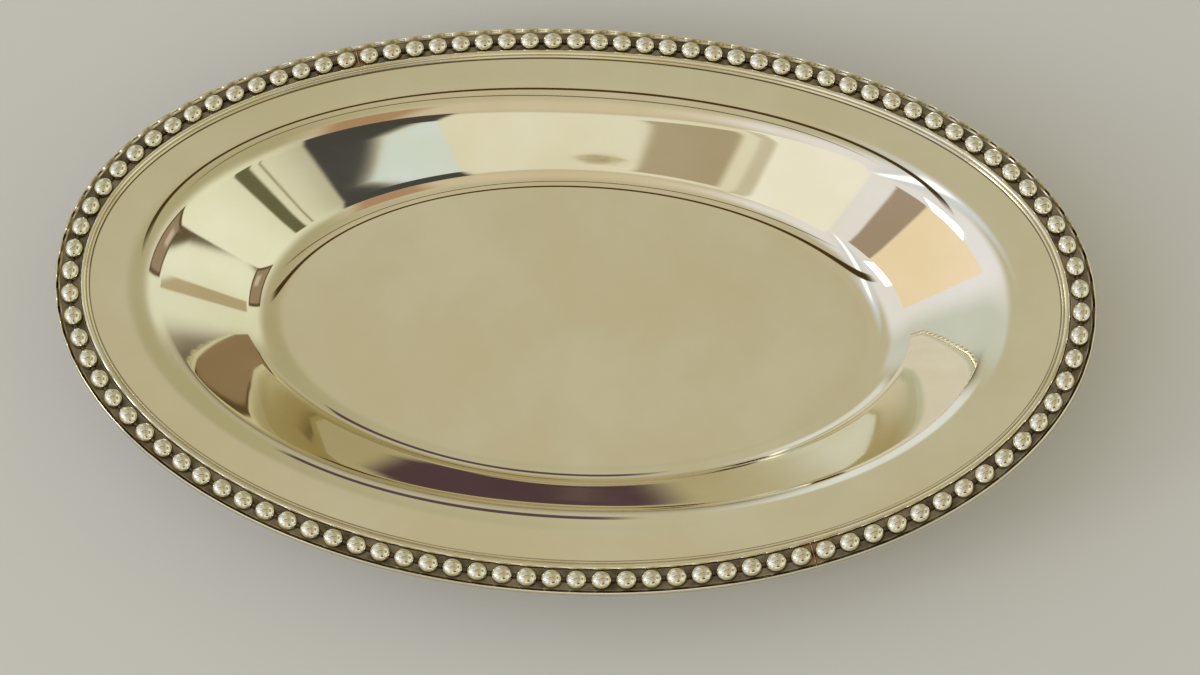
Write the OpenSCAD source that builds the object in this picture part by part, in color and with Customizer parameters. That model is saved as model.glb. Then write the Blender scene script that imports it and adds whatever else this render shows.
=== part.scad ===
// Oval bread tray with a beaded border.
//
// The body is one pressed sheet: flat floor, curved wall and a wide flange that
// sweeps up towards the two ends. Three wires are soldered round the flange: a
// plain edge wire, a wire of half-round beads joined by necks, and a reeded
// fillet wire. Each wire is two lengths that meet at two joints, where a bar of
// solder runs across the channel.
//
// Millimetres. +X runs along the tray, +Z is up, and the origin is the middle of
// the face that the tray rests on.

/* [Tray] */
// Overall length, over the edge
tray_l = 305; // [260:1:360]
// Overall width, over the edge
tray_w = 178.2; // [160:0.1:220]
// Fullness of the oval, where 2 is a true ellipse
fullness = 2.03; // [2:0.01:2.2]
// Height of the flange over the floor, half way along each side
side_h = 21.4; // [18:0.1:26]
// Further rise of the flange at the ends of the bead line
end_rise = 11.5; // [0:0.5:18]
// Thickness of the sheet
sheet = 1; // [0.6:0.1:1.5]

/* [Well] */
// Flange width at each end, from the edge to the mouth of the well
flange_end = 19.9; // [17:0.1:24]
// Flange width at each side, from the edge to the mouth of the well
flange_side = 17.6; // [15:0.1:21]
// How far the wall slopes in from mouth to floor at each end
wall_end = 44.1; // [38:0.1:50]
// How far the wall slopes in from mouth to floor at each side
wall_side = 27.5; // [25:0.1:31]
// Radius of the bend between floor and wall at each end, on its upper face
floor_r_end = 18.5; // [12:0.5:22]
// Radius of the bend between floor and wall at each side, on its upper face
floor_r_side = 9.6; // [6:0.1:12]
// Radius of the roll from wall to flange at each end, on its upper face
mouth_r_end = 18; // [12:0.5:22]
// Radius of the roll from wall to flange at each side, on its upper face
mouth_r_side = 13.4; // [9:0.1:15]

/* [Border] */
// Width of the edge wire
edge_w = 1.5; // [1:0.1:1.7]
// Height of the edge wire
edge_h = 1.4; // [0.8:0.1:2.4]
// Diameter of a bead
bead_d = 5.4; // [4:0.1:6]
// Height of a bead's middle over its flat back
bead_lift = 0.4; // [0:0.1:1]
// Wanted distance from bead to bead
bead_step = 7.13; // [6.6:0.01:9]
// Diameter of the necks that join the beads
neck_d = 2; // [1:0.1:3]
// Height of the necks' flat backs over those of the beads
neck_lift = 0.15; // [0.1:0.05:0.3]
// Clear channel between edge wire and beads, and between beads and fillet wire
channel = 0.15; // [0.05:0.05:0.5]
// Width of the fillet wire
fillet_w = 2.6; // [2:0.1:4]
// Height of the fillet wire
fillet_h = 1.5; // [0.8:0.1:2.4]
// Film of solder between the flange and the wires
film = 0.05; // [0.05:0.01:0.1]

/* [Joints] */
// Place of the first joint, as a share of the way round from the right end
joint_turn = 0.85; // [0.55:0.01:0.95]
// Gap between the two lengths of a wire at each joint
joint_gap = 0.1; // [0.05:0.05:0.3]
// Diameter of the bar of solder across a joint
solder_d = 1.4; // [0.8:0.1:1.5]

/* [Hidden] */

// Distances in from the edge
bead_u = edge_w + channel + bead_d / 2;
fillet_u = bead_u + bead_d / 2 + channel;
border_w = fillet_u + fillet_w;

// Half axes of the ovals: bead line, mouth of the well and edge of the flat floor
bead_a = tray_l / 2 - bead_u;
bead_b = tray_w / 2 - bead_u;
mouth_a = tray_l / 2 - flange_end;
mouth_b = tray_w / 2 - flange_side;
floor_a = mouth_a - wall_end;
floor_b = mouth_b - wall_side;

function oval(a, b, t) =
    let (r = pow(pow(abs(cos(t)), fullness) + pow(abs(sin(t)), fullness), -1 / fullness))
    [a * r * cos(t), b * r * sin(t)];

// Radius of a bend where the mouth of the well is x from the middle
function bend_r(side, end, x) = side + (end - side) * pow(x / mouth_a, 2);

// Upper face of the flange, which depends only on the distance from the middle
function flange_z(x) = sheet + side_h + end_rise * pow(x / bead_a, 2);
function flange_lean(x) = atan(2 * end_rise * x / pow(bead_a, 2));

// The bead line, and the direction out from it
tick = 0.05;
function bead_line(t) = oval(bead_a, bead_b, t);
function along(t) = let (d = bead_line(t + tick) - bead_line(t - tick)) d / norm(d);
function out(t) = let (d = along(t)) [d[1], -d[0]];

// A point on the flange at distance u in from the edge
function border_xy(t, u) = bead_line(t) + (bead_u - u) * out(t);
function border_pt(t, u, h) = let (p = border_xy(t, u)) [p[0], p[1], flange_z(p[0]) + h];

// Length of the bead line, and the angle t at any length s along it
arc_steps = 720;
arc_t = 360 / arc_steps;
arc_len = [for (i = [0 : arc_steps]) i == 0 ? 0
    : norm(border_pt(i * arc_t, bead_u, 0) - border_pt((i - 1) * arc_t, bead_u, 0))];
arc_table = [for (i = 0, s = 0; i <= arc_steps; i = i + 1, s = s + (i <= arc_steps ? arc_len[i] : 0))
    [s, i * arc_t]];
round_len = arc_table[arc_steps][0];
function t_at(s) = let (turn = floor(s / round_len)) lookup(s - turn * round_len, arc_table) + 360 * turn;

// The beads share the whole length of the line evenly
bead_count = round(round_len / bead_step);
bead_pitch = round_len / bead_count;

// Every sweep has a station at each bead and at each gap, counted in half pitches
half = bead_pitch / 2;
first_joint = 2 * floor(joint_turn * bead_count) + 1;
second_joint = 2 * floor((joint_turn - 0.5) * bead_count) + 1;
full_turn = 2 * bead_count;

// Sections of the wires: [distance in from the edge, height over the flange]
edge_section = [[0, film], [0, edge_h * 0.55], [edge_w * 0.15, edge_h * 0.9], [edge_w * 0.4, edge_h],
    [edge_w * 0.62, edge_h * 0.85], [edge_w * 0.85, edge_h * 0.45], [edge_w, film]];
fillet_section = [for (p = [[0, 0], [0.04, 0.55], [0.2, 0.9], [0.45, 1], [0.7, 0.84], [0.78, 0.66],
    [0.88, 0.7], [0.97, 0.5], [1, 0]]) [fillet_u + fillet_w * p[0], film + (fillet_h - film) * p[1]]];

// Steps in each bend of the sheet
bend_steps = 4;

// The sheet at one station, from floor to edge, on the face that lies depth under the upper one
function sheet_line(t, depth) =
    let (
        foot = oval(floor_a, floor_b, t),
        mouth = oval(mouth_a, mouth_b, t),
        run = norm(mouth - foot),
        way = (mouth - foot) / run,
        rise = flange_z(mouth[0]) - sheet,
        lean = atan(tan(flange_lean(mouth[0])) * way[0]),
        floor_r = bend_r(floor_r_side, floor_r_end, mouth[0]),
        mouth_r = bend_r(mouth_r_side, mouth_r_end, mouth[0]),
        bends = floor_r + mouth_r,
        dx = run + mouth_r * sin(lean),
        dz = rise - floor_r - mouth_r * cos(lean),
        straight = sqrt(dx * dx + dz * dz - bends * bends),
        slope = atan2(dz, dx) + atan2(bends, straight),
        start = floor_r * [sin(slope), 1 - cos(slope)],
        stop = [run - mouth_r * (sin(slope) - sin(lean)), rise - mouth_r * (cos(lean) - cos(slope))],
        middle = (start + stop) / 2,
        line = [
            for (i = [0 : bend_steps]) let (a = slope * i / bend_steps)
                [floor_r * sin(a), floor_r * (1 - cos(a)), a],
            [middle[0], middle[1], slope],
            for (i = [0 : bend_steps]) let (a = slope + (lean - slope) * i / bend_steps)
                [run - mouth_r * (sin(a) - sin(lean)), rise - mouth_r * (cos(lean) - cos(a)), a]
        ],
        inner = border_xy(t, border_w),
        between = (mouth + inner) / 2
    )
    [
        for (p = line) let (q = foot + (p[0] + depth * sin(p[2])) * way)
            [q[0], q[1], sheet + p[1] - depth * cos(p[2])],
        [between[0], between[1], flange_z(between[0]) - depth],
        border_pt(t, border_w, -depth),
        border_pt(t, 0, -depth)
    ];

// The faces between two neighbouring rings of n points, as triangles
function skin(from, to, n) = [for (j = [0 : n - 1]) let (k = (j + 1) % n)
    each [[from + j, to + k, to + j], [from + j, from + k, to + k]]];

// A closed section swept along the border from length s0 to s1
module wire(section, s0, s1) {
    inner_stations = [for (i = [ceil(s0 / half) : floor(s1 / half)]) i * half];
    stations = concat([s0], inner_stations, [s1]);
    n = len(section);
    last = len(stations) - 1;
    points = [for (s = stations, p = section) border_pt(t_at(s), p[0], p[1])];
    sides = [for (i = [0 : last - 1]) each skin(i * n, (i + 1) * n, n)];
    caps = [[for (j = [n - 1 : -1 : 0]) j], [for (j = [0 : n - 1]) last * n + j]];
    polyhedron(points, concat(sides, caps));
}

// Ends of a length that runs from one joint to another, clear of both joints
function length_start(joint) = joint * half + joint_gap / 2;
function length_stop(joint) = joint * half - joint_gap / 2;

module edge_wire(from, to) {
    color("gainsboro") wire(edge_section, length_start(from), length_stop(to));
}

module fillet_wire(from, to) {
    color("wheat") wire(fillet_section, length_start(from), length_stop(to));
}

// Puts a piece flat on the flange at length s, with its X axis along the bead line
module on_flange(s) {
    t = t_at(s);
    p = border_xy(t, bead_u);
    way = along(t);
    translate([p[0], p[1], flange_z(p[0])])
        rotate([0, -flange_lean(p[0]), 0])
            rotate([0, 0, atan2(way[1], way[0])])
                translate([0, 0, film]) children();
}

// A half-round bar with its flat back down, along X
module half_bar(d, l) {
    translate([-l / 2, 0, 0]) rotate([90, 0, 90]) linear_extrude(l)
        intersection() {
            circle(d = d, $fn = 32);
            translate([-d, 0]) square([2 * d, d]);
        }
}

module bead() {
    rotate_extrude($fn = 48)
        intersection() {
            translate([0, bead_lift]) circle(d = bead_d, $fn = 48);
            square([bead_d, bead_lift + bead_d]);
        }
}

// Beads and necks between two joints, which both fall in a gap between two beads
module bead_wire(from, to) {
    color("silver") union() {
        for (i = [from + 1 : 2 : to - 1]) on_flange(i * half) bead();
        for (i = [from + 2 : 2 : to - 2]) on_flange(i * half)
            translate([0, 0, neck_lift]) half_bar(neck_d, bead_pitch - bead_d * 0.75);
    }
}

// A bar of solder across the channel, from the edge wire to the fillet wire
module joint_solder(joint) {
    color("tan") on_flange(joint * half) rotate([0, 0, 90]) half_bar(solder_d, bead_d);
}

module tray_body() {
    count = full_turn;
    upper = [for (i = [0 : count - 1]) sheet_line(t_at(i * half), 0)];
    lower = [for (i = [0 : count - 1]) sheet_line(t_at(i * half), sheet)];
    rings = len(upper[0]);
    // Rings run out over the upper face and back in under the lower one
    points = [
        for (k = [0 : rings - 1], i = [0 : count - 1]) upper[i][k],
        for (k = [rings - 1 : -1 : 0], i = [0 : count - 1]) lower[i][k]
    ];
    sides = [for (k = [0 : 2 * rings - 2]) each skin(k * count, (k + 1) * count, count)];
    floor_face = [for (i = [count - 1 : -1 : 0]) i];
    rest_face = [for (i = [0 : count - 1]) (2 * rings - 1) * count + i];
    color("darkkhaki") polyhedron(points, concat(sides, [floor_face, rest_face]));
}

tray_body();
edge_wire(first_joint, second_joint + full_turn);  // edge_wire_right
edge_wire(second_joint, first_joint);  // edge_wire_left
bead_wire(first_joint, second_joint + full_turn);  // bead_wire_right
bead_wire(second_joint, first_joint);  // bead_wire_left
fillet_wire(first_joint, second_joint + full_turn);  // fillet_wire_right
fillet_wire(second_joint, first_joint);  // fillet_wire_left
joint_solder(first_joint);  // joint_solder_front
joint_solder(second_joint);  // joint_solder_back
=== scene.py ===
import math

import bpy
import numpy as np
from mathutils import Euler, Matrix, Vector


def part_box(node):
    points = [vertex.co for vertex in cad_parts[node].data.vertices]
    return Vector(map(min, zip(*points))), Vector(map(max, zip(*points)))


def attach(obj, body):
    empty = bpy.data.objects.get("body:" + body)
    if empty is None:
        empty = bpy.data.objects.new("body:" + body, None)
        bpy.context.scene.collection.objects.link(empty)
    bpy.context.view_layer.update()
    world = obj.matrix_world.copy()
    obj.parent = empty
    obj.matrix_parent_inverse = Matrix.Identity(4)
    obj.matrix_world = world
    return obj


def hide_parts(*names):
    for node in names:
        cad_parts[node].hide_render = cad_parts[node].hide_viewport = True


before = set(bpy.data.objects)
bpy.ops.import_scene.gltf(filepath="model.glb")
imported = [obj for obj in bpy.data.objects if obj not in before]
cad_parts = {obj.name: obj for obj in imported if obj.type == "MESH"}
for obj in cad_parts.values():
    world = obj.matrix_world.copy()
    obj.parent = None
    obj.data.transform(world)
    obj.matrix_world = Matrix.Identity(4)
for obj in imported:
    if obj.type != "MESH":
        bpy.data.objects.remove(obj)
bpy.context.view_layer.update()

# Looks of the oval beaded tray. Metres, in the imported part's own frame: +X along the tray, +Z up,
# and the origin in the middle of the face that the tray rests on. Each wire is modelled as a straight
# length, as it is drawn, and then bent round the border. The sheet is laid out flat and then pressed.

MM = 0.001

# The tray's sizes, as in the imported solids
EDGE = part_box("tray_body")[1]
SHEET = 1.0 * MM
SIDE_H = 21.4 * MM
END_RISE = 11.5 * MM
FULLNESS = 2.03
FLANGE_END = 19.9 * MM
FLANGE_SIDE = 17.6 * MM
WALL_END = 44.1 * MM
WALL_SIDE = 27.5 * MM
FLOOR_R = (9.6 * MM, 18.5 * MM)
MOUTH_R = (13.4 * MM, 18.0 * MM)
EDGE_W = 1.5 * MM
EDGE_H = 1.4 * MM
BEAD_D = 5.4 * MM
BEAD_LONG = 6.3 * MM
BEAD_WIDE = 5.3 * MM
BEAD_LIFT = 0.4 * MM
BEAD_STEP = 7.13 * MM
NECK_D = 1.5 * MM
CHANNEL = 0.15 * MM
FILLET_W = 2.6 * MM
FILLET_H = 1.5 * MM
FILM = 0.05 * MM
JOINT_TURN = 0.85
JOINT_GAP = 0.1 * MM
SOLDER_HALF_W = 0.42 * MM
SOLDER_H = 0.7 * MM

# Points nearer than this are one
TOUCH = 0.001 * MM
# Points this near to a cut end belong to its rim
RIM_REACH = 0.01 * MM

BEAD_U = EDGE_W + CHANNEL + BEAD_D / 2
FILLET_U = BEAD_U + BEAD_D / 2 + CHANNEL
BORDER_W = FILLET_U + FILLET_W
BEAD_AXES = (EDGE.x - BEAD_U, EDGE.y - BEAD_U)
MOUTH_AXES = (EDGE.x - FLANGE_END, EDGE.y - FLANGE_SIDE)
FLOOR_AXES = (MOUTH_AXES[0] - WALL_END, MOUTH_AXES[1] - WALL_SIDE)


# ---------------------------------------------------------------- the tray's lines

def oval(axes, turn):
    """Points of an oval with these half axes, at angles in radians."""
    c, s = np.cos(turn), np.sin(turn)
    reach = (np.abs(c) ** FULLNESS + np.abs(s) ** FULLNESS) ** (-1 / FULLNESS)
    return np.stack([axes[0] * reach * c, axes[1] * reach * s], -1)


def flange_z(x):
    """Height of the flange's upper face, which depends only on the distance from the middle."""
    return SHEET + SIDE_H + END_RISE * (x / BEAD_AXES[0]) ** 2


def flange_slope(x):
    """Rise of the flange for each unit of length along the tray."""
    return 2 * END_RISE * x / BEAD_AXES[0] ** 2


def bend_r(radii, x):
    """Radius of a bend, from its values at the sides and the ends, where the mouth is x from the middle."""
    return radii[0] + (radii[1] - radii[0]) * (x / MOUTH_AXES[0]) ** 2


def outward(turn):
    """Direction out from the bead line, square to it."""
    tick = 0.001
    way = oval(BEAD_AXES, turn + tick) - oval(BEAD_AXES, turn - tick)
    way /= np.linalg.norm(way, axis=-1, keepdims=True)
    return np.stack([way[..., 1], -way[..., 0]], -1)


def border_xy(turn, u):
    """Place on the flange at distance u in from the edge."""
    return oval(BEAD_AXES, turn) + (BEAD_U - u)[..., None] * outward(turn)


def measure_bead_line():
    """Angles round the bead line, and the length along it at each."""
    turns = np.linspace(0, 2 * math.pi, 2881)
    xy = oval(BEAD_AXES, turns)
    line = np.column_stack([xy, flange_z(xy[:, 0])])
    steps = np.linalg.norm(np.diff(line, axis=0), axis=1)
    return turns, np.concatenate([[0], np.cumsum(steps)])


LINE_TURNS, LINE_LENGTHS = measure_bead_line()
ROUND_LEN = LINE_LENGTHS[-1]
BEADS = round(ROUND_LEN / BEAD_STEP)
PITCH = ROUND_LEN / BEADS
FIRST_JOINT = (math.floor(JOINT_TURN * BEADS) + 0.5) * PITCH
SECOND_JOINT = (math.floor((JOINT_TURN - 0.5) * BEADS) + 0.5) * PITCH


def turn_at(length):
    """Angle of the bead line at a length along it."""
    rounds = np.floor(length / ROUND_LEN)
    return np.interp(length - rounds * ROUND_LEN, LINE_LENGTHS, LINE_TURNS) + rounds * 2 * math.pi


def seat(length, u, height):
    """Points laid on the flange: length round the border, distance in from the edge, height."""
    xy = border_xy(turn_at(length), u)
    slope = flange_slope(xy[..., 0])
    upright = np.sqrt(1 + slope ** 2)
    x = xy[..., 0] - height * slope / upright
    z = flange_z(xy[..., 0]) + height / upright
    return np.stack([x, xy[..., 1], z], -1)


# ---------------------------------------------------------------- work on meshes

def begin():
    """Nothing selected and nothing active, in object mode."""
    if bpy.context.mode != "OBJECT":
        bpy.ops.object.mode_set(mode="OBJECT")
    bpy.ops.object.select_all(action="DESELECT")


def edit(piece, kind="FACE"):
    """Opens a piece in edit mode with nothing selected."""
    begin()
    bpy.context.view_layer.objects.active = piece
    piece.select_set(True)
    bpy.ops.object.mode_set(mode="EDIT")
    bpy.ops.mesh.select_mode(type=kind)
    bpy.ops.mesh.select_all(action="DESELECT")


def pick(piece, test, kind="FACE"):
    """Selects the faces, or the vertices, whose centre passes the test."""
    edit(piece, kind)
    bpy.ops.object.mode_set(mode="OBJECT")
    parts = piece.data.polygons if kind == "FACE" else piece.data.vertices
    for part in parts:
        part.select = bool(test(part.center if kind == "FACE" else part.co))
    bpy.ops.object.mode_set(mode="EDIT")


def places(piece):
    """The piece's vertices as an array of x, y, z."""
    flat = np.empty(len(piece.data.vertices) * 3)
    piece.data.vertices.foreach_get("co", flat)
    return flat.reshape(-1, 3)


def move_to(piece, points):
    """Puts the piece's vertices at these places."""
    piece.data.vertices.foreach_set("co", np.ascontiguousarray(points, np.float32).ravel())
    piece.data.update()


def note(piece, name, values):
    """Keeps a value at each vertex for the materials to read."""
    kept = piece.data.attributes.new(name, "FLOAT", "POINT")
    kept.data.foreach_set("value", np.asarray(values, np.float32))


def apply_modifier(piece, kind, **settings):
    """Adds a modifier with these settings and applies it."""
    begin()
    bpy.context.view_layer.objects.active = piece
    piece.select_set(True)
    modifier = piece.modifiers.new(kind.title(), kind)
    for name, value in settings.items():
        setattr(modifier, name, value)
    bpy.ops.object.modifier_apply(modifier=modifier.name)


def finish_piece(piece, name, node, finish, smooth_angle=40):
    """Names a finished piece, smooths it, and lets it stand for its CAD node."""
    begin()
    bpy.context.view_layer.objects.active = piece
    piece.select_set(True)
    bpy.ops.object.transform_apply(location=True, rotation=True, scale=True)
    bpy.ops.object.shade_smooth_by_angle(angle=math.radians(smooth_angle))
    piece.name = name
    piece.data.name = name
    slot, material = finish
    piece.data.materials.clear()
    piece.data.materials.append(material)
    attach(piece, "root")
    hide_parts(node)
    begin()
    return piece


# ---------------------------------------------------------------- shader maths

class Value:
    """A socket of a node tree that can be used in sums."""

    def __init__(self, tree, socket):
        self.tree = tree
        self.socket = socket

    def sum(self, operation, *others):
        return node(self.tree, "ShaderNodeMath", {"operation": operation}, dict(enumerate((self, *others))))

    def __add__(self, other):
        return self.sum("ADD", other)

    def __sub__(self, other):
        return self.sum("SUBTRACT", other)

    def __mul__(self, other):
        return self.sum("MULTIPLY", other)

    def __truediv__(self, other):
        return self.sum("DIVIDE", other)

    def __rsub__(self, other):
        return node(self.tree, "ShaderNodeMath", {"operation": "SUBTRACT"}, {0: other, 1: self})

    def __rtruediv__(self, other):
        return node(self.tree, "ShaderNodeMath", {"operation": "DIVIDE"}, {0: other, 1: self})

    __radd__ = __add__
    __rmul__ = __mul__

    def clamp(self):
        return node(self.tree, "ShaderNodeMath", {"operation": "ADD", "use_clamp": True}, {0: self, 1: 0.0})

    def rise(self, low, high, to_low=0.0, to_high=1.0):
        """Runs smoothly from to_low at low to to_high at high."""
        return node(self.tree, "ShaderNodeMapRange", {"interpolation_type": "SMOOTHSTEP"},
                    {"Value": self, "From Min": low, "From Max": high, "To Min": to_low, "To Max": to_high})

    def band(self, low, high, soft):
        """One between low and high, and nothing outside."""
        return self.rise(low - soft, low + soft) * (1 - self.rise(high - soft, high + soft))


def node(tree, kind, settings=None, sockets=None, out=0):
    """Adds a node: its settings first, then the values or links of its sockets."""
    made = tree.nodes.new(kind)
    for name, setting in (settings or {}).items():
        if name == "stops":
            while len(made.color_ramp.elements) < len(setting):
                made.color_ramp.elements.new(0.5)
            for element, (place, colour) in zip(made.color_ramp.elements, setting):
                element.position = place
                element.color = colour
        else:
            setattr(made, name, setting)
    for name, value in (sockets or {}).items():
        if isinstance(value, Value):
            tree.links.new(value.socket, made.inputs[name])
        else:
            made.inputs[name].default_value = value
    return Value(tree, made.outputs[out]) if made.outputs else None


def mix(tree, share, low, high):
    """Colour between low and high."""
    return node(tree, "ShaderNodeMix", {"data_type": "RGBA"},
                {"Factor": share, 6: low, 7: high}, out=2)


def tint(*rgb):
    return (*rgb, 1.0)


SILVER = tint(0.80, 0.735, 0.545)
PALE_SILVER = tint(0.86, 0.81, 0.66)
DULL_SILVER = tint(0.60, 0.53, 0.37)
CHANNEL_TARNISH = tint(0.32, 0.27, 0.185)
# Dark tarnish for the channel; the same dark is also painted shade at the fillet's foot and on the beads'
# feet and necks.
DARK_TARNISH_AND_SHADE = tint(0.10, 0.075, 0.05)
# Brown used as painted shade on the low parts of the plain wires.
BROWN_FOOT_SHADE = tint(0.24, 0.17, 0.095)
COPPER_STAIN = tint(0.42, 0.25, 0.13)


def new_finish(name):
    """An empty material and its node tree."""
    material = bpy.data.materials.new(name)
    material.use_nodes = True
    material.node_tree.nodes.clear()
    return material, material.node_tree


def object_place(tree, scale=1.0):
    place = node(tree, "ShaderNodeTexCoord", out=3)
    return node(tree, "ShaderNodeMapping", None, {"Vector": place, "Scale": (scale, scale, scale)})


def cloud(tree, scale, detail=3.0, rough=0.55, place=None, warp=0.0):
    """Soft patches, from nothing to one; scale is patches to the metre."""
    return node(tree, "ShaderNodeTexNoise", None,
                {"Vector": place or object_place(tree), "Scale": scale, "Detail": detail,
                 "Roughness": rough, "Distortion": warp})


def attribute(tree, name):
    return node(tree, "ShaderNodeAttribute", {"attribute_name": name}, out=2)


def close(material, tree, colour, rough, bump):
    """Joins the worked-out colour, roughness and bump to a metal surface."""
    surface = node(tree, "ShaderNodeBsdfPrincipled", None,
                   {"Base Color": colour, "Metallic": 1.0, "Roughness": rough, "Normal": bump})
    node(tree, "ShaderNodeOutputMaterial", None, {"Surface": surface})
    return material


def scratches(tree, scale, turn, thin):
    """Fine straight scratches in one direction."""
    place = node(tree, "ShaderNodeTexCoord", out=3)
    along = node(tree, "ShaderNodeMapping", None,
                 {"Vector": place, "Rotation": (0, 0, turn), "Scale": (scale * 0.04, scale, scale)})
    lines = node(tree, "ShaderNodeTexNoise", None,
                 {"Vector": along, "Scale": 1.0, "Detail": 2.0, "Roughness": 0.6})
    return lines.rise(thin, thin + 0.06)


def near_joints(tree, reach):
    """One at the two joints of the border, fading out over this reach."""
    place = node(tree, "ShaderNodeTexCoord", out=3)
    shares = []
    for length in (FIRST_JOINT, SECOND_JOINT):
        point = seat(np.array(length), np.array(BEAD_U), 0)
        away = node(tree, "ShaderNodeVectorMath", {"operation": "DISTANCE"},
                    {0: place, 1: tuple(point)}, out=1)
        shares.append(1 - away.rise(reach * 0.35, reach))
    return shares[0] + shares[1]


def sheet_finish():
    """Polished plate on the pressed sheet, with old tarnish in the bead channel and a painted shadow line
    along the inner foot of the fillet wire.
    """
    material, tree = new_finish("polished_plate")
    from_edge = attribute(tree, "from_edge")
    patches = cloud(tree, 22, 4)
    fine = cloud(tree, 160, 4, 0.6)
    channel = from_edge.band(EDGE_W * 0.8, FILLET_U, 0.25 * MM)
    # Painted shadow: a thin dark line on the flange along the inner foot of the fillet wire, where the step
    # casts shade.
    foot_shade_line = from_edge.band(BORDER_W - 0.05 * MM, BORDER_W + 0.3 * MM, 0.16 * MM)
    painted_shade = (foot_shade_line * (patches.rise(0.25, 0.7) * 0.5 + 0.4)).clamp()
    plate = mix(tree, patches.rise(0.35, 0.75), SILVER, PALE_SILVER)
    old = mix(tree, fine.rise(0.3, 0.7), CHANNEL_TARNISH, DARK_TARNISH_AND_SHADE)
    joint = near_joints(tree, 6 * MM) * fine.rise(0.3, 0.6)
    # The painted shadow line turns the plate dark here.
    colour = mix(tree, painted_shade, mix(tree, channel, plate, old), DARK_TARNISH_AND_SHADE)
    colour = mix(tree, (joint * channel * 0.8).clamp(), colour, COPPER_STAIN)
    scuffs = (scratches(tree, 900, 0.5, 0.68) + scratches(tree, 700, 2.1, 0.7)) * patches.rise(0.4, 0.7)
    rough = patches.rise(0.3, 0.8, 0.02, 0.06) + fine.rise(0.5, 0.8) * 0.02 + scuffs * 0.05 + painted_shade * 0.3
    rough = rough + channel * 0.22
    waves = cloud(tree, 28, 1.0, 0.4)
    height = waves * 0.5 + fine * 0.02 - scuffs * 0.01
    bump = node(tree, "ShaderNodeBump", None, {"Strength": 0.35, "Distance": 0.12 * MM, "Height": height})
    return "plated_sheet", close(material, tree, colour, rough, bump)


def wire_finish():
    """Polished plate on the plain wires, with painted shade low down on their sides, in their hollows and
    where they sit on the sheet.
    """
    material, tree = new_finish("wire_plate")
    height = attribute(tree, "height")
    patches = cloud(tree, 90, 4)
    # Painted shade: the lower part of each wire, down in its hollows and at its foot, is turned brown and
    # dark.
    low = 1 - height.rise(0.15 * MM, 0.7 * MM)
    painted_shade = (low * (patches.rise(0.3, 0.65) * 0.4 + 0.5)).clamp()
    plate = mix(tree, patches.rise(0.35, 0.75), SILVER, PALE_SILVER)
    colour = mix(tree, painted_shade, plate, BROWN_FOOT_SHADE)
    joint = near_joints(tree, 5 * MM) * patches.rise(0.3, 0.6)
    colour = mix(tree, (joint * 0.5).clamp(), colour, COPPER_STAIN)
    rough = patches.rise(0.3, 0.8, 0.08, 0.18) + painted_shade * 0.25
    bump = node(tree, "ShaderNodeBump", None,
                {"Strength": 0.3, "Distance": 0.05 * MM, "Height": cloud(tree, 500, 3)})
    return "plated_wire", close(material, tree, colour, rough, bump)


def bead_finish():
    """Bright beads with painted shade on their feet and on the necks between them."""
    material, tree = new_finish("bead_plate")
    height = attribute(tree, "height")
    from_middle = attribute(tree, "from_middle")
    patches = cloud(tree, 260, 4)
    # Painted shade: each bead is darkened low down, where it sits in the channel.
    low = 1 - height.rise(0.4 * MM, 1.3 * MM)
    # Painted shadow: the necks between the beads are made dark.
    neck = from_middle.rise(BEAD_LONG * 0.445, BEAD_LONG * 0.5)
    painted_shade = (low * (patches.rise(0.25, 0.65) * 0.4 + 0.5) + neck * 0.9).clamp()
    colour = mix(tree, painted_shade, PALE_SILVER, DARK_TARNISH_AND_SHADE)
    rough = patches.rise(0.3, 0.8, 0.04, 0.12) + painted_shade * 0.3
    bump = node(tree, "ShaderNodeBump", None,
                {"Strength": 0.4, "Distance": 0.06 * MM, "Height": cloud(tree, 450, 3)})
    return "bead_wire", close(material, tree, colour, rough, bump)


def solder_finish():
    """Dull brown solder where the plate has worn away."""
    material, tree = new_finish("worn_solder")
    patches = cloud(tree, 600, 4)
    colour = mix(tree, patches.rise(0.35, 0.7), COPPER_STAIN, DULL_SILVER)
    bump = node(tree, "ShaderNodeBump", None,
                {"Strength": 0.5, "Distance": 0.08 * MM, "Height": patches})
    return "solder", close(material, tree, colour, patches.rise(0.3, 0.8, 0.25, 0.5), bump)


# ---------------------------------------------------------------- the pressed sheet

STATIONS = 2 * BEADS * 2
BEND_RINGS = 16
WALL_RINGS = 6
FLANGE_RINGS = 8
BORDER_RINGS = 12


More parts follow.
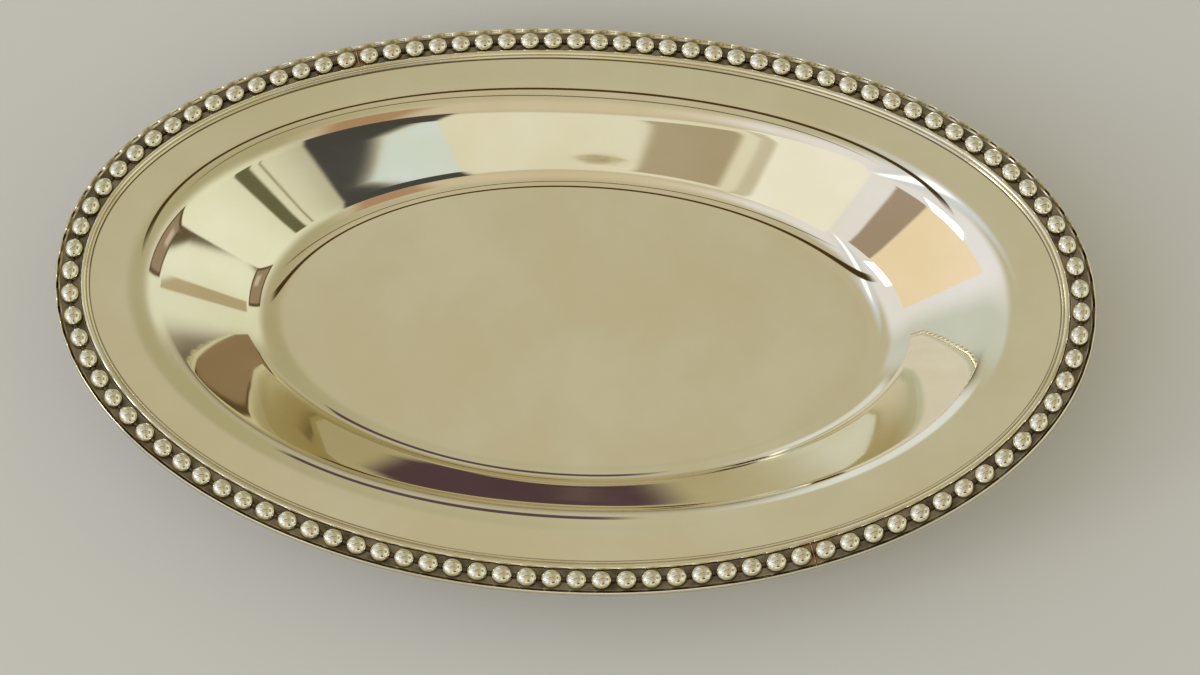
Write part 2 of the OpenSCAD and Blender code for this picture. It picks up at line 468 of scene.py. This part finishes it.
def section_of_sheet(turn):
    """The upper face at each angle, from the floor's edge to the rim: rings by angles by x, y, z."""
    foot = oval(FLOOR_AXES, turn)
    mouth = oval(MOUTH_AXES, turn)
    run = np.linalg.norm(mouth - foot, axis=-1)
    way = (mouth - foot) / run[:, None]
    rise = flange_z(mouth[:, 0]) - SHEET
    lean = np.arctan(flange_slope(mouth[:, 0]) * way[:, 0])
    floor_r = bend_r(FLOOR_R, mouth[:, 0])
    mouth_r = bend_r(MOUTH_R, mouth[:, 0])
    bends = floor_r + mouth_r
    dx = run + mouth_r * np.sin(lean)
    dz = rise - floor_r - mouth_r * np.cos(lean)
    slope = np.arctan2(dz, dx) + np.arctan2(bends, np.sqrt(dx ** 2 + dz ** 2 - bends ** 2))
    rings = []

    def ring(across, up):
        xy = foot + across[:, None] * way
        rings.append(np.column_stack([xy, SHEET + up]))

    for share in np.linspace(0, 1, BEND_RINGS + 1):
        ring(floor_r * np.sin(slope * share), floor_r * (1 - np.cos(slope * share)))
    start = (floor_r * np.sin(slope), floor_r * (1 - np.cos(slope)))
    stop = (run - mouth_r * (np.sin(slope) - np.sin(lean)), rise - mouth_r * (np.cos(lean) - np.cos(slope)))
    for share in np.linspace(0, 1, WALL_RINGS + 1)[1:-1]:
        ring(start[0] + (stop[0] - start[0]) * share, start[1] + (stop[1] - start[1]) * share)
    for share in np.linspace(0, 1, BEND_RINGS + 1):
        a = slope + (lean - slope) * share
        ring(run - mouth_r * (np.sin(a) - np.sin(lean)), rise - mouth_r * (np.cos(lean) - np.cos(a)))
    inner = border_xy(turn, np.full(len(turn), BORDER_W))
    for share in np.linspace(0, 1, FLANGE_RINGS + 1)[1:]:
        xy = mouth + (inner - mouth) * share
        rings.append(np.column_stack([xy, flange_z(xy[:, 0])]))
    for share in np.linspace(0, 1, BORDER_RINGS + 1)[1:]:
        xy = border_xy(turn, np.full(len(turn), BORDER_W * (1 - share)))
        rings.append(np.column_stack([xy, flange_z(xy[:, 0])]))
    return np.array(rings)


def press_sheet():
    """A flat strip of squares is pressed to the tray's rings, closed, floored and given its thickness."""
    turn = turn_at(np.arange(STATIONS + 1) * ROUND_LEN / STATIONS)
    rings = section_of_sheet(turn)
    begin()
    bpy.ops.mesh.primitive_grid_add(x_subdivisions=STATIONS, y_subdivisions=len(rings) - 1, size=2)
    piece = bpy.context.object
    flat = places(piece)
    column = np.rint((flat[:, 0] + 1) / 2 * STATIONS).astype(int)
    row = np.rint((flat[:, 1] + 1) / 2 * (len(rings) - 1)).astype(int)
    pressed = rings[row, column]
    move_to(piece, pressed)
    rim = rings[-1][column]
    note(piece, "from_edge", np.linalg.norm(pressed[:, :2] - rim[:, :2], axis=1))
    edit(piece)
    bpy.ops.mesh.select_all(action="SELECT")
    bpy.ops.mesh.remove_doubles(threshold=TOUCH)
    floor_reach = SHEET + TOUCH
    pick(piece, lambda co: co.z < floor_reach, "VERT")
    bpy.ops.mesh.edge_face_add()
    bpy.ops.mesh.select_all(action="SELECT")
    bpy.ops.mesh.normals_make_consistent(inside=False)
    begin()
    if piece.data.polygons[len(piece.data.polygons) - 1].normal.z < 0:
        edit(piece)
        bpy.ops.mesh.select_all(action="SELECT")
        bpy.ops.mesh.flip_normals()
        begin()
    apply_modifier(piece, "SOLIDIFY", thickness=SHEET, offset=-1, use_even_offset=True)
    outline = np.array(EDGE) * (1, 1, 2)
    move_to(piece, np.clip(places(piece), -outline, outline))
    return finish_piece(piece, "pressed_sheet", "tray_body", sheet_finish(), 50)


# ---------------------------------------------------------------- straight wires, then bent

def bend_round(piece, start):
    """Lays a straight piece on the border: x is the length from start, y the way in, z the height."""
    points = places(piece)
    note(piece, "height", points[:, 2])
    move_to(piece, seat(start + points[:, 0], points[:, 1], points[:, 2]))
    edit(piece)
    bpy.ops.mesh.select_all(action="SELECT")
    bpy.ops.mesh.normals_make_consistent(inside=False)
    begin()


def drawn_wire(length, inner, width, crown, strips):
    """A straight wire with a flat back: crown gives its height at each share of its width."""
    steps = round(length / PITCH * 4)
    begin()
    bpy.ops.mesh.primitive_grid_add(x_subdivisions=steps, y_subdivisions=strips, size=2)
    piece = bpy.context.object
    flat = places(piece)
    share = (flat[:, 1] + 1) / 2
    share = (1 - np.cos(share * math.pi)) / 2
    move_to(piece, np.column_stack([(flat[:, 0] + 1) / 2 * length, inner + width * share, crown(share)]))
    edit(piece)
    bpy.ops.mesh.select_all(action="SELECT")
    bpy.ops.mesh.extrude_region_move(TRANSFORM_OT_translate={"value": (0, 0, -FILLET_H)})
    bpy.ops.transform.resize(value=(1, 1, 0), center_override=(0, 0, FILM))
    begin()
    return piece


def reed(share, middle, half, height):
    """Height of one half-round reed over its seat."""
    inside = np.clip(1 - ((share - middle) / half) ** 2, 0, 1)
    return height * np.sqrt(inside)


def edge_crown(share):
    """A rounded lip that falls away in a long hollow towards the beads."""
    peak = 0.32
    rise = np.sqrt(np.clip(1 - (1 - share / peak) ** 2, 0, 1))
    fall = 0.1 + 0.9 * np.clip(1 - (share - peak) / (1 - peak), 0, 1) ** 1.7
    return FILM * 2 + (EDGE_H - FILM * 2.1) * np.where(share < peak, rise, fall)


def fillet_crown(share):
    """A broad reed with a thin one beside it, on the side of the flange."""
    broad = reed(share, 0.37, 0.385, FILLET_H - FILM * 2)
    thin = reed(share, 0.86, 0.15, FILLET_H * 0.62)
    return FILM * 2 + np.maximum(broad, thin)


def bead_link():
    """One oval bead with half a neck on each side, flat at the back."""
    begin()
    bpy.ops.mesh.primitive_uv_sphere_add(segments=36, ring_count=26, radius=1, rotation=(0, math.pi / 2, 0))
    link = bpy.context.object
    link.scale = (BEAD_WIDE / 2, BEAD_WIDE / 2, BEAD_LONG / 2)
    link.location.z = BEAD_LIFT
    bpy.ops.object.transform_apply(location=True, rotation=True, scale=True)
    neck = NECK_D / 2
    shoulder = BEAD_LONG / 2 * math.sqrt(1 - (neck * 2.1 / BEAD_WIDE) ** 2)
    pick(link, lambda co: abs(co.x) > shoulder)
    bpy.ops.mesh.delete(type="FACE")
    begin()
    for side in (-1, 1):
        for reach, width in ((BEAD_LONG / 2 * 1.02, NECK_D * 0.94), (PITCH / 2, NECK_D * 0.9)):
            points = places(link)
            end = (points[:, 0] * side).max()
            rim = points[points[:, 0] * side > end - RIM_REACH]
            narrower = width / (rim[:, 1].max() - rim[:, 1].min())
            pick(link, lambda co: co.x * side > end - RIM_REACH, "VERT")
            bpy.ops.mesh.extrude_edges_move(TRANSFORM_OT_translate={"value": (side * (reach - end), 0, 0)})
            bpy.ops.transform.resize(value=(1, narrower, narrower),
                                     center_override=(side * reach, 0, BEAD_LIFT))
            begin()
    edit(link)
    bpy.ops.mesh.select_all(action="SELECT")
    bpy.ops.mesh.bisect(plane_co=(0, 0, 0), plane_no=(0, 0, 1), clear_inner=True, use_fill=True)
    begin()
    points = places(link)
    points[:, 0] += PITCH / 2
    points[:, 1] += BEAD_U
    points[:, 2] += FILM
    move_to(link, points)
    return link


def bead_length(count, seed):
    """A straight length of bead wire, its outer necks cut off beside the last beads."""
    piece = bead_link()
    apply_modifier(piece, "ARRAY", count=count, use_relative_offset=False, use_constant_offset=True,
                   constant_offset_displace=(PITCH, 0, 0), use_merge_vertices=True,
                   merge_threshold=2 * TOUCH)
    cut = PITCH / 2 - BEAD_LONG / 2 * 0.985
    for place, way in ((cut, 1), (count * PITCH - cut, -1)):
        edit(piece)
        bpy.ops.mesh.select_all(action="SELECT")
        bpy.ops.mesh.bisect(plane_co=(place, 0, 0), plane_no=(way, 0, 0), clear_inner=True, use_fill=True)
        begin()
    points = places(piece)
    bead = np.clip((points[:, 0] / PITCH).astype(int), 0, count - 1)
    from_middle = points[:, 0] - (bead + 0.5) * PITCH
    note(piece, "from_middle", np.abs(from_middle))
    uneven = np.random.default_rng(seed).normal(0, 1, (count, 2))
    whole = np.clip(1 - (from_middle / (BEAD_LONG / 2)) ** 2, 0, 1)
    wide = 1 + 0.012 * np.clip(uneven[bead, 0], -1.5, 1.5) * whole
    points[:, 1] = BEAD_U + (points[:, 1] - BEAD_U) * wide
    points[:, 2] *= 1 - 0.012 * (1 + np.clip(uneven[bead, 1], -1, 1)) * whole
    move_to(piece, points)
    return piece


def solder_bar():
    """A lump of solder that lies across the channel, lower at its ends."""
    begin()
    bpy.ops.mesh.primitive_cylinder_add(vertices=24, radius=1, depth=2, rotation=(math.pi / 2, 0, 0))
    piece = bpy.context.object
    bpy.ops.object.transform_apply(location=True, rotation=True, scale=True)
    pick(piece, lambda co: abs(co.y) > 0.9)
    bpy.ops.mesh.inset(thickness=0.35)
    bpy.ops.transform.resize(value=(0.8, 1, 0.8), center_override=(0, 0, 0))
    begin()
    apply_modifier(piece, "SUBSURF", levels=3, render_levels=3)
    edit(piece)
    bpy.ops.mesh.select_all(action="SELECT")
    bpy.ops.transform.resize(value=(SOLDER_HALF_W, BEAD_D / 2, SOLDER_H), center_override=(0, 0, 0))
    bpy.ops.mesh.bisect(plane_co=(0, 0, 0), plane_no=(0, 0, 1), clear_inner=True, use_fill=True)
    begin()
    points = places(piece)
    points[:, 1] += BEAD_U
    points[:, 2] += FILM
    move_to(piece, points)
    return piece


def make_border():
    """Both lengths of the three wires, and the solder at their joints."""
    lengths = {"right": (FIRST_JOINT, SECOND_JOINT + ROUND_LEN), "left": (SECOND_JOINT, FIRST_JOINT)}
    plain, beaded = wire_finish(), bead_finish()
    for side, (start, stop) in lengths.items():
        clear = stop - start - JOINT_GAP
        for kind, inner, width, crown, strips in (("edge", 0, EDGE_W, edge_crown, 14),
                                                  ("fillet", FILLET_U, FILLET_W, fillet_crown, 26)):
            piece = drawn_wire(clear, inner, width, crown, strips)
            bend_round(piece, start + JOINT_GAP / 2)
            finish_piece(piece, f"{kind}_moulding_{side}", f"{kind}_wire_{side}", plain)
        piece = bead_length(round((stop - start) / PITCH), seed=len(side))
        bend_round(piece, start)
        finish_piece(piece, f"pearl_wire_{side}", f"bead_wire_{side}", beaded)
    worn = solder_finish()
    for place, where in ((FIRST_JOINT, "front"), (SECOND_JOINT, "back")):
        piece = solder_bar()
        bend_round(piece, place)
        finish_piece(piece, f"solder_{where}", f"joint_solder_{where}", worn)


# ---------------------------------------------------------------- the studio

def make_camera():
    """Looks down on the tray from the front, a little to the right, and slightly rolled."""
    azimuth, elevation, roll = math.radians(14.45), math.radians(70.05), math.radians(-10.5)
    distance = 709.6 * MM
    aim = Vector((7.7 * MM, -3.3 * MM, -0.12 * MM))
    back = Vector((math.sin(azimuth) * math.cos(elevation), -math.cos(azimuth) * math.cos(elevation),
                   math.sin(elevation)))
    data = bpy.data.cameras.new("camera")
    data.lens = 69.84
    data.sensor_width = 36
    data.clip_start = 0.01
    camera = bpy.data.objects.new("camera", data)
    bpy.context.scene.collection.objects.link(camera)
    camera.location = aim + back * distance
    look = back.to_track_quat("Z", "Y")
    camera.rotation_euler = (look @ Euler((0, 0, roll)).to_quaternion()).to_euler()
    bpy.context.scene.camera = camera


def make_floor():
    """A plain pale floor under the tray."""
    begin()
    bpy.ops.mesh.primitive_plane_add(size=4)
    floor = bpy.context.object
    floor.name = "studio_floor"
    material, tree = new_finish("floor_paper")
    surface = node(tree, "ShaderNodeBsdfPrincipled", None,
                   {"Base Color": tint(0.78, 0.78, 0.77), "Roughness": 0.9, "Specular IOR Level": 0.2})
    node(tree, "ShaderNodeOutputMaterial", None, {"Surface": surface})
    floor.data.materials.append(material)


def soft_light(name, place, aim, size, power, colour):
    """A rectangular lamp at this place, turned to its aim."""
    data = bpy.data.lights.new(name, "AREA")
    data.shape = "RECTANGLE"
    data.size, data.size_y = size
    data.energy = power
    data.color = colour
    light = bpy.data.objects.new(name, data)
    bpy.context.scene.collection.objects.link(light)
    light.location = place
    light.rotation_euler = (Vector(place) - Vector(aim)).to_track_quat("Z", "Y").to_euler()


def card(tree, way, sky, azimuth, elevation, width, height, soft, colour):
    """Lays a soft-edged card on the sky; azimuth turns from the front to the right, in degrees."""
    facing = node(tree, "ShaderNodeVectorRotate", {"rotation_type": "EULER_XYZ", "invert": True},
                  {"Vector": way, "Rotation": (-math.radians(elevation), 0, math.radians(azimuth))})
    across, behind, above = [node(tree, "ShaderNodeSeparateXYZ", None, {"Vector": facing}, out=axis)
                             for axis in range(3)]
    inside = 1 - (across / behind).sum("ABSOLUTE").rise(width / 2 - soft, width / 2 + soft)
    inside = inside * (1 - (above / behind).sum("ABSOLUTE").rise(height / 2 - soft, height / 2 + soft))
    return mix(tree, inside * (1 - behind.rise(-0.15, -0.05)), sky, tint(*colour))


def strip(tree, way, sky, turn, offset, width, soft, lowest, end, colour):
    """Lays a straight strip on the sky overhead, up to its end; lengths are per unit of height."""
    along, depth, height = [node(tree, "ShaderNodeSeparateXYZ", None, {"Vector": way}, out=axis)
                            for axis in range(3)]
    t = math.radians(turn)
    across = (depth * math.cos(t) - along * math.sin(t)) / height - offset
    inside = 1 - across.sum("ABSOLUTE").rise(width / 2 - soft, width / 2 + soft)
    onward = (along * math.cos(t) + depth * math.sin(t)) / height
    inside = inside * (1 - onward.rise(end - 0.12, end + 0.12))
    return mix(tree, inside * height.rise(lowest - 0.1, lowest + 0.1), sky, tint(*colour))


def make_studio():
    """A floor, one lamp, and cards and strips that imitate a furnished room for the plate to mirror."""
    make_floor()
    world = bpy.data.worlds.new("studio")
    bpy.context.scene.world = world
    world.use_nodes = True
    tree = world.node_tree
    tree.nodes.clear()
    way = node(tree, "ShaderNodeTexCoord")
    height = node(tree, "ShaderNodeSeparateXYZ", None, {"Vector": way}, out=2)
    sky = node(tree, "ShaderNodeValToRGB", {"stops": [
        (0.0, tint(0.24, 0.22, 0.18)), (0.03, tint(0.20, 0.17, 0.13)), (0.13, tint(0.45, 0.42, 0.33)),
        (0.30, tint(0.57, 0.55, 0.44)), (0.55, tint(0.58, 0.55, 0.43)), (0.90, tint(0.575, 0.55, 0.435)),
        (1.0, tint(0.60, 0.55, 0.42))]}, {"Fac": height})
    # Each card: azimuth and elevation in degrees, width and height at unit distance, softness, colour
    cream_wall = [88, 20, 2.2, 1.1, 0.3, (0.80, 0.82, 0.68)]
    cream_glow = [84, 30, 0.9, 0.6, 0.25, (0.90, 0.94, 0.80)]
    shade_high = [95, 66, 1.6, 0.55, 0.25, (0.47, 0.44, 0.29)]
    shade_back = [160, 40, 0.5, 0.9, 0.2, (0.47, 0.44, 0.29)]
    front_high = [-5, 48, 0.9, 0.5, 0.15, (0.70, 0.62, 0.48)]
    low_front = [-6, 12, 0.95, 0.66, 0.06, (0.84, 0.83, 0.72)]
    dark_back = [180, 27, 0.30, 0.16, 0.02, (0.11, 0.07, 0.11)]
    white_back = [-150, 12, 0.45, 0.45, 0.08, (0.82, 0.88, 0.94)]
    grey_right = [-108, 20, 0.75, 0.9, 0.12, (0.66, 0.72, 0.73)]
    pale_right = [-68, 30, 1.3, 1.1, 0.2, (0.90, 0.92, 1.05)]
    oak = [-70, 13, 0.72, 0.15, 0.01, (0.98, 0.84, 0.66)]
    oak_dark = [-53, 14, 0.16, 0.12, 0.01, (0.42, 0.34, 0.28)]
    pale_door = [-33, 16, 0.30, 0.55, 0.01, (1.0, 1.0, 0.98)]
    jamb = [-24, 14, 0.04, 0.50, 0.01, (0.66, 0.62, 0.52)]
    panel = [-15.5, 12, 0.17, 0.30, 0.012, (0.47, 0.40, 0.29)]
    screen = [20, 24.5, 0.38, 0.31, 0.012, (0.07, 0.07, 0.07)]
    screen_foot = [20, 8, 0.38, 0.262, 0.004, (0.74, 0.86, 0.92)]
    stand = [22, 45, 0.20, 0.42, 0.04, (0.46, 0.30, 0.19)]
    frame_edge = [98, 33, 0.52, 0.40, 0.01, (0.13, 0.09, 0.05)]
    frame_card = [98, 33, 0.44, 0.32, 0.01, (0.34, 0.26, 0.18)]
    frame_light = [93, 30, 0.14, 0.14, 0.03, (0.62, 0.52, 0.46)]
    peg = [49, 23, 0.09, 0.16, 0.01, (0.15, 0.15, 0.08)]
    peg_edge = [43, 22, 0.015, 0.14, 0.004, (0.40, 0.38, 0.26)]
    box = [114, 14, 0.13, 0.12, 0.01, (0.50, 0.42, 0.27)]
    for shape in (cream_wall, cream_glow, shade_high, shade_back, front_high, low_front, dark_back,
                  white_back, grey_right, pale_right, oak, oak_dark, pale_door, jamb, panel, screen,
                  screen_foot, stand, frame_edge, frame_card, frame_light, peg, peg_edge, box):
        sky = card(tree, way, sky, *shape)
    sky = strip(tree, way, sky, 55, 0.43, 0.22, 0.08, 0.45, 0.0, (0.74, 0.82, 1.0))
    sky = strip(tree, way, sky, 55, 0.41, 0.06, 0.02, 0.40, -0.15, (1.6, 1.7, 1.9))
    sky = strip(tree, way, sky, 22.8, 0.088, 0.095, 0.008, 0.7, 0.5, (0.07, 0.04, 0.01))
    sky = strip(tree, way, sky, 22.8, -0.225, 0.045, 0.008, 0.8, 0.4, (0.17, 0.12, 0.05))
    light = node(tree, "ShaderNodeBackground", None, {"Color": sky, "Strength": 1.0})
    node(tree, "ShaderNodeOutputWorld", None, {"Surface": light})
    soft_light("window", (-1.15, -0.50, 0.62), (0, 0, 0), (0.35, 0.35), 2.0, (1.0, 0.98, 0.98))


make_camera()
press_sheet()
make_border()
make_studio()
bpy.context.scene.view_settings.view_transform = "Standard"
